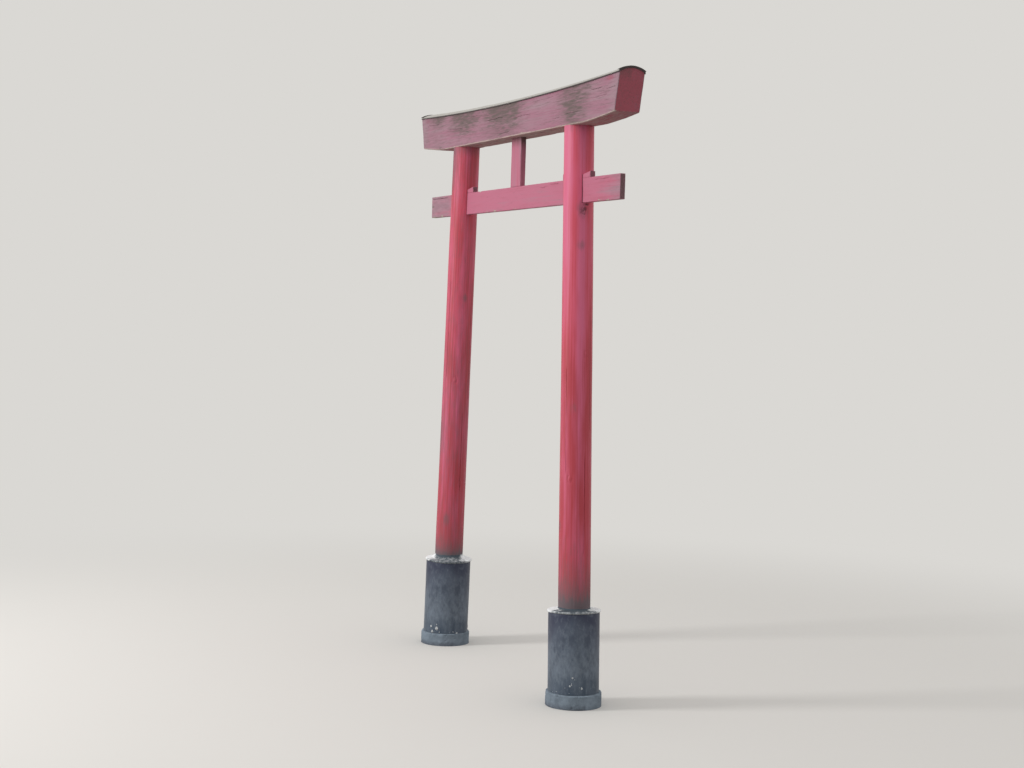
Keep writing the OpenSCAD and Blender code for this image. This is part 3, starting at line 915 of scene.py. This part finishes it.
def nails_along_a_line():
    """A tree that sets a domed nail head every so far along a line of edges"""
    tree, given = new_growth("nails_along_a_line", "Nails", Line="Geometry", Spacing="Float",
                             Head="Float", Metal="Material")
    curve = add(tree, "GeometryNodeMeshToCurve", {"Mesh": given["Line"]})
    spaced = add(tree, "GeometryNodeResampleCurve", {"Curve": curve, "Length": given["Spacing"]},
                 mode="LENGTH")
    head = add(tree, "GeometryNodeMeshUVSphere", {"Segments": 14, "Rings": 8, "Radius": 0.5})
    jitter = add(tree, "FunctionNodeRandomValue", {"Min": 0.9, "Max": 1.1, "Seed": 5}, data_type="FLOAT")
    size = add(tree, "ShaderNodeMath", {0: jitter, 1: given["Head"]}, operation="MULTIPLY")
    flat = add(tree, "ShaderNodeVectorMath", {0: (1.0, 0.36, 1.0), "Scale": size}, operation="SCALE")
    nails = add(tree, "GeometryNodeInstanceOnPoints", {"Points": spaced, "Instance": head,
                                                       "Scale": flat})
    finish_growth(tree, nails, given["Metal"])
    return tree


def grow(name, guide, tree, **values):
    """Runs a tree on a guide mesh and makes its result a plain mesh"""
    made = bpy.data.objects.new(name, guide)
    bpy.context.scene.collection.objects.link(made)
    growth = made.modifiers.new("growth", "NODES")
    growth.node_group = tree
    for item in tree.interface.items_tree:
        if item.in_out == "INPUT" and item.name in values:
            growth[item.identifier] = values[item.name]
    settle(made)
    return made


line = np.linspace(-1 + nail_margin, 1 - nail_margin, 120)
guide = bpy.data.meshes.new("hem_lines")
spots, edges = [], []
for face in (-1, 1):
    level = shoulder_level(line) - nail_drop
    first = len(spots)
    x = slanted(line * under_length / 2, level)
    spots += np.stack([x, face * (half + nail_stand) + 0 * line, level], -1).tolist()
    edges += [(first + i, first + i + 1) for i in range(len(line) - 1)]
guide.from_pydata(spots, edges, [])
nails = grow("hem_nails", guide, nails_along_a_line(), Spacing=nail_spacing, Head=nail_head,
             Metal=sheet_metal)
keep(nails, tarred=np.full(len(nails.data.vertices), 0.6))
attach(nails, "root")

# Footing pads
# A round concrete pad on the ground under each sleeve, cast in a rough form: pitted, chipped at its
# rim and stained by soil at its foot.
CONCRETE_GREY = "#8c99a6"
CONCRETE_DARK = "#6c7883"
SOIL = "#5f6772"
pad_columns = 240
pad_bevel = 0.005
cast_relief, sand_relief = 0.0012, 0.0005
pit_depth, chip_depth = 0.003, 0.006


def mineral(name, light, dark, soil, grit_mm, bump_mm, rough):
    """Concrete or mortar: grey cement paste with sand in it, cloudy, and soiled where it is marked. The
    marks also carry painted shade on the collars and painted light on the pads.
    """
    material = new_material(name)
    tree = material.node_tree
    place = add(tree, "ShaderNodeTexCoord", output="Object")
    soiling = add(tree, "ShaderNodeAttribute", output="Fac", attribute_name="soil")
    clouds, sand, smears = textures(tree, place, ((45,) * 3, 5, 0.6), ((grit_mm,) * 3, 3, 0.7),
                                    ((16,) * 3, 5, 0.7))
    tone = marked(tree, sand, 0.45, clouds, 0.52, 0.92)
    dirt = marked(tree, smears, 0.9, soiling, 0.62, 1.1)
    colour = linear(dark)
    for amount, coat in ((tone, light), (dirt, soil)):
        colour = add(tree, "ShaderNodeMix", {"Factor": amount, "A": colour, "B": linear(coat)},
                     data_type="RGBA")
    bump = add(tree, "ShaderNodeBump", {"Height": sand, "Distance": bump_mm / 1000, "Strength": 1.0})
    surface = add(tree, "ShaderNodeBsdfPrincipled", {"Base Color": colour, "Roughness": rough,
                                                     "Normal": bump})
    add(tree, "ShaderNodeOutputMaterial", {"Surface": surface})
    return material


def spun(profile, columns):
    """The two measures of a profile, carried round an upright axis, and the turn of each column"""
    turn = np.linspace(0, 2 * math.pi, columns, endpoint=False)[:, None]
    return turn, *np.moveaxis(np.repeat(np.array(profile)[None], columns, 0), -1, 0)


# Concrete cast in a rough form: matt grey cement, cloudy, with grains of sand that stand out of it.
concrete = mineral("rough_cast_concrete", CONCRETE_GREY, CONCRETE_DARK, SOIL, 2.5, 0.8, 0.9)
for side_name, side in SIDES.items():
    low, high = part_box(f"{side_name}_footing_pad")
    radius, height = (high.x - low.x) / 2, high.z
    seed = 90 + side
    floor_rings = [(r, 0.0) for r in np.linspace(0.002, radius, 12)[:-1]]
    wall = [(radius, z) for z in np.linspace(0, height - pad_bevel, 22)]
    rim = [(radius - pad_bevel * (1 - math.cos(a)), height - pad_bevel * (1 - math.sin(a)))
           for a in np.linspace(0, math.pi / 2, 7)[1:]]
    lid = [(r, height) for r in np.linspace(radius - pad_bevel, 0.002, 34)[1:]]
    turn, r, z = spun(floor_rings + wall + rim + lid, pad_columns)
    points = wheel(r, turn, z)
    outside = np.clip((r - 0.1) / 0.01, 0, 1) * np.clip(z / 0.004, 0, 1)
    worn_rim = bell((r - radius) / 0.008) * bell((z - height) / 0.012)
    rough_cast = cast_relief * lumps(points, 0.03, seed)
    rough_cast = rough_cast + sand_relief * lumps(points, 0.007, seed + 1)
    pits = -pit_depth * np.clip(lumps(points, 0.011, seed + 2) - 0.42, 0, None) / 0.3
    broken = -chip_depth * worn_rim * np.clip(lumps(points, 0.02, seed + 3), 0, None)
    shift = (rough_cast + pits + broken) * outside - 0.0004 * outside
    r = r + shift
    on_lid = np.clip((z - height + pad_bevel) / pad_bevel, 0, 1)
    z = np.clip(z + (shift - 0.001) * on_lid * 0.6, 0, height)
    points = wheel(r, turn, z) + (side * spacing / 2, 0, 0)
    pad = shell(f"{side_name}_cast_pad", np.swapaxes(points, 0, 1))
    # Less soil on one side of the pad is painted light
    washed = 1 - 0.7 * bell(turn - 0.6)
    keep(pad, soil=((0.50 * bell(z / 0.03) + 0.12) * washed).T.ravel())
    seat(pad, concrete, f"{side_name}_footing_pad")

# Footing sleeves
# Lengths of dark grey plastic drain pipe, set upright round the posts' feet as a lasting mould for
# the concrete. Weather has chalked them in streaks, and mortar has splashed their lower parts.
PIPE_GREY = "#717c89"
PIPE_CHALK = "#8a949e"
PIPE_DARK = "#525c69"
PIPE_SHELTERED = "#363b50"
PIPE_DAMP = "#3a4858"
dirty_side = math.radians(-27)
pipe_wall = 0.0065
pipe_columns = 192
collar_edge = 0.009

# Extruded PVC drain pipe: smooth and satin when new, now chalky and paler in streaks down its wall,
# with fine scratches. Just under the collar, and more so towards its sides, it is darkened as painted
# shade. It is dark at its damp foot.
pipe = new_material("weathered_pvc_pipe")
tree = pipe.node_tree
local = add(tree, "ShaderNodeAttribute", output="Vector", attribute_name="grain")
soiling, sheltered, damp = [
    add(tree, "ShaderNodeAttribute", output="Fac", attribute_name=layer)
    for layer in ("soil", "sheltered", "damp")]
streaks, clouds, dust, scratches = textures(
    tree, local, ((260, 14, 14), 4, 0.6), ((70, 40, 40), 6, 0.62), ((26, 16, 16), 5, 0.7),
    ((60, 1.6, 1.6), 3, 0.5))
chalk = marked(tree, streaks, 0.35, clouds, 0.55, 0.80)
damp = marked(tree, streaks, 1.9, damp, 0.95, 1.95)
dusty = marked(tree, dust, 1.0, soiling, 0.55, 1.25)
colour = linear(PIPE_DARK)
for amount, coat in ((chalk, PIPE_GREY), (sheltered, PIPE_SHELTERED), (damp, PIPE_DAMP),
                     (dusty, PIPE_CHALK)):
    colour = add(tree, "ShaderNodeMix", {"Factor": amount, "A": colour, "B": linear(coat)},
                 data_type="RGBA")
rough = add(tree, "ShaderNodeMapRange", {"Value": dusty, "To Min": 0.45, "To Max": 0.8})
bump = add(tree, "ShaderNodeBump", {"Height": scratches, "Distance": 0.00015, "Strength": 1.0})
surface = add(tree, "ShaderNodeBsdfPrincipled", {"Base Color": colour, "Roughness": rough,
                                                 "Normal": bump, "Specular IOR Level": 0.35})
add(tree, "ShaderNodeOutputMaterial", {"Surface": surface})

for side_name, side in SIDES.items():
    pad_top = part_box(f"{side_name}_footing_pad")[1].z
    sleeve_low, sleeve_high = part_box(f"{side_name}_footing_sleeve")
    pipe_radius = (sleeve_high.y - sleeve_low.y) / 2
    top = collar_level[side_name] - collar_edge
    outside = [(pipe_radius, s) for s in [0.0, *np.linspace(0.006, 1, 56)[:-1]]]
    rim = [(pipe_radius - 0.0008, 0.9985), (pipe_radius - 0.002, 1.0),
           (pipe_radius - pipe_wall + 0.002, 1.0), (pipe_radius - pipe_wall, 0.9985)]
    inside = [(pipe_radius - pipe_wall, s) for s in np.linspace(0.9, 0, 6)]
    turn, r, share = spun(outside + rim + inside, pipe_columns)
    x, y = r * np.cos(turn), r * np.sin(turn)
    foot_level = (pad_top - side * x * math.sin(lean)) / math.cos(lean)
    up = foot_level + (top - foot_level) * share
    dent = 0.0007 * lumps(np.stack([x, y, up], -1), (0.09, 0.09, 0.16), 100 + side)
    x, y = x * (1 + dent / pipe_radius), y * (1 + dent / pipe_radius)
    sleeve = shell(f"{side_name}_pipe", lean_over(side, np.stack([x, y, up], -1)), round_trip=True)
    soil = 0.16 * bell((up - pad_top - 0.12) / 0.10) + 0.05
    # Painted shade just under the collar, stronger towards the pipe's sides
    sheltered = np.exp(-(top - up) / 0.10) * (1 + 0.8 * np.sin(turn - dirty_side) ** 2)
    damp = 0.6 * bell((up - pad_top) / 0.13)
    keep(sleeve, grain=np.stack([up, x, y], -1).reshape(-1, 3), soil=soil.ravel(),
         sheltered=sheltered.ravel(), damp=damp.ravel())
    sleeve.data.set_sharp_from_angle(angle=crease)
    seat(sleeve, pipe, f"{side_name}_footing_sleeve")


def splashes_on_a_wall():
    """A tree that scatters flat, uneven drops over a surface"""
    tree, given = new_growth("splashes_on_a_wall", "Splashes", Wall="Geometry", Density="Float",
                             Smallest="Float", Largest="Float", Seed="Int", Mortar="Material")
    spread = add(tree, "GeometryNodeDistributePointsOnFaces",
                 {"Mesh": given["Wall"], "Density": given["Density"], "Seed": given["Seed"]}).node
    drop = add(tree, "GeometryNodeMeshIcoSphere", {"Radius": 0.5, "Subdivisions": 3})
    uneven = add(tree, "ShaderNodeTexNoise", {"Scale": 4.0}, output="Color")
    shift = add(tree, "ShaderNodeVectorMath", {0: uneven, 1: (0.5, 0.5, 0.5)}, operation="SUBTRACT")
    drop = add(tree, "GeometryNodeSetPosition", {"Geometry": drop, "Offset": shift})
    chance = add(tree, "FunctionNodeRandomValue", {"Min": 0.0, "Max": 1.0, "Seed": 3}, data_type="FLOAT")
    chance = add(tree, "ShaderNodeMath", {0: chance, 1: 5.0}, operation="POWER")
    size = add(tree, "ShaderNodeMapRange", {"Value": chance, "To Min": given["Smallest"],
                                            "To Max": given["Largest"]})
    flat = add(tree, "ShaderNodeVectorMath", {0: (1.0, 1.3, 0.3), "Scale": size}, operation="SCALE")
    drops = add(tree, "GeometryNodeInstanceOnPoints",
                {"Points": spread.outputs["Points"], "Instance": drop, "Scale": flat,
                 "Rotation": spread.outputs["Rotation"]})
    finish_growth(tree, drops, given["Mortar"])
    return tree


MORTAR_PALE = "#fcfdfd"
MORTAR_GREY = "#eceff0"
MORTAR_DIRT = "#46515a"
splash_height, splash_gap = 0.085, 0.004

# White lime mortar, pressed on with a trowel: matt and nearly smooth, with dirt in its hollows.
mortar = mineral("trowelled_mortar", MORTAR_PALE, MORTAR_GREY, MORTAR_DIRT, 1.6, 0.35, 0.8)
splash_tree = splashes_on_a_wall()
for side_name, side in SIDES.items():
    pad_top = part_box(f"{side_name}_footing_pad")[1].z
    turn, share = np.meshgrid(np.linspace(0, 2 * math.pi, 73), (0, 1), indexing="ij")
    ring = wheel(pipe_radius, turn, 0 * turn)
    reach = splash_height * np.clip(lumps(ring, 0.06, 120 + side) + 0.25, 0.05, None)
    ring[..., 2] = pad_top + splash_gap + share * reach
    guide = sheet("splash_guide", lean_over(side, ring), 0.0)
    mesh = guide.data.copy()
    bpy.data.objects.remove(guide)
    splashes = grow(f"{side_name}_splashes", mesh, splash_tree, Density=700.0, Smallest=0.002,
                    Largest=0.015, Seed=7 + side, Mortar=mortar)
    keep(splashes, soil=np.full(len(splashes.data.vertices), 0.32))
    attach(splashes, "root")

# Footing fills
# Concrete cast round each post's foot, inside the pipe, which holds the post upright. The collar and
# the pipe hide it, so its plain solid is enough.
for side_name in SIDES:
    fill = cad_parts[f"{side_name}_footing_fill"]
    fill.data.materials.clear()
    fill.data.materials.append(concrete)

# Footing collars
# Pale mortar, trowelled over the fill so that it sheds water, coved up against the post, and
# overhanging the pipe's rim in an uneven lip. Its top and lip at the front are darkened with a mottled
# painted shadow of the post, and it is darker in the corner against the post.
lip_overhang = 0.005
collar_fall = 0.003
lip_start, lip_hang = 0.004, 0.004
lip_waves, trowel_marks = 0.0016, 0.0007
cove_height = {"left": 0.028, "right": 0.009}
dirt_in_corner = {"left": 0.40, "right": 0.90}
dirt_on_top = {"left": 0.56, "right": 0.70}
dirt_on_lip = {"left": 0.58, "right": 0.48}
collar_columns = 256
for side_name, side in SIDES.items():
    top = collar_level[side_name]
    seed = 110 + side
    inner = log_radius(top) - 0.0015
    edge_radius = pipe_radius + lip_overhang
    nose = collar_edge / 2
    under = [(r, -collar_edge) for r in np.linspace(inner, edge_radius - nose, 8)]
    lip = [(edge_radius - nose + nose * math.cos(a), -nose + nose * math.sin(a))
           for a in np.linspace(-math.pi / 2, math.pi / 2, 11)[1:]]
    cove = cove_height[side_name]
    face = [(edge_radius - nose + (inner + cove - edge_radius + nose) * share, collar_fall * share)
            for share in np.linspace(0, 1, 20)[1:]]
    corner = [(inner + cove * (1 - math.sin(a)), collar_fall + cove * (1 - math.cos(a)))
              for a in np.linspace(0, math.pi / 2, 9)[1:]]
    turn, r, rise = spun(under + lip + face + corner, collar_columns)
    ring = wheel(r, turn, rise)
    level_ring = ring * (1, 1, 0)
    outward = np.clip((r - pipe_radius + lip_start) / (lip_overhang + lip_start), 0, 1)
    upward = np.clip((rise + nose) / nose, 0, 1)
    wavy = lip_waves * lumps(level_ring, 0.045, seed) + 0.0006 * lumps(ring, 0.01, seed + 1)
    r = r + outward * wavy
    hang = np.clip(lumps(level_ring, 0.03, seed + 2), 0, None)
    rise = rise - outward * np.clip(-rise / collar_edge, 0, 1) * lip_hang * hang
    trowel = trowel_marks * lumps(level_ring, 0.035, seed + 3)
    trowel = trowel + 0.00025 * lumps(ring, 0.006, seed + 4)
    rise = rise + upward * trowel
    points = wheel(r, turn, top + rise)
    collar = shell(f"{side_name}_mortar_collar", lean_over(side, points), round_trip=True)
    # The corner against the post is darker, and the front is darkened as a painted shadow of the post
    beside_post = np.exp(-np.clip(r - inner - 0.001, 0, None) / 0.003)
    away = np.arctan2(np.sin(turn - dirty_side), np.cos(turn - dirty_side))
    patchy = 1 + 0.8 * lumps(level_ring, 0.022, seed + 5) + 0.4 * lumps(level_ring, 0.008, seed + 6)
    dirty = np.clip(1.8 * bell(away / 1.45) * patchy, 0, 1)
    soil = dirt_in_corner[side_name] * beside_post * upward + 0.05 * outward
    soil += dirty * (dirt_on_top[side_name] * upward * (1 - outward) + dirt_on_lip[side_name] * outward)
    keep(collar, soil=soil.ravel())
    collar.data.set_sharp_from_angle(angle=math.radians(60))
    seat(collar, mortar, f"{side_name}_footing_collar")
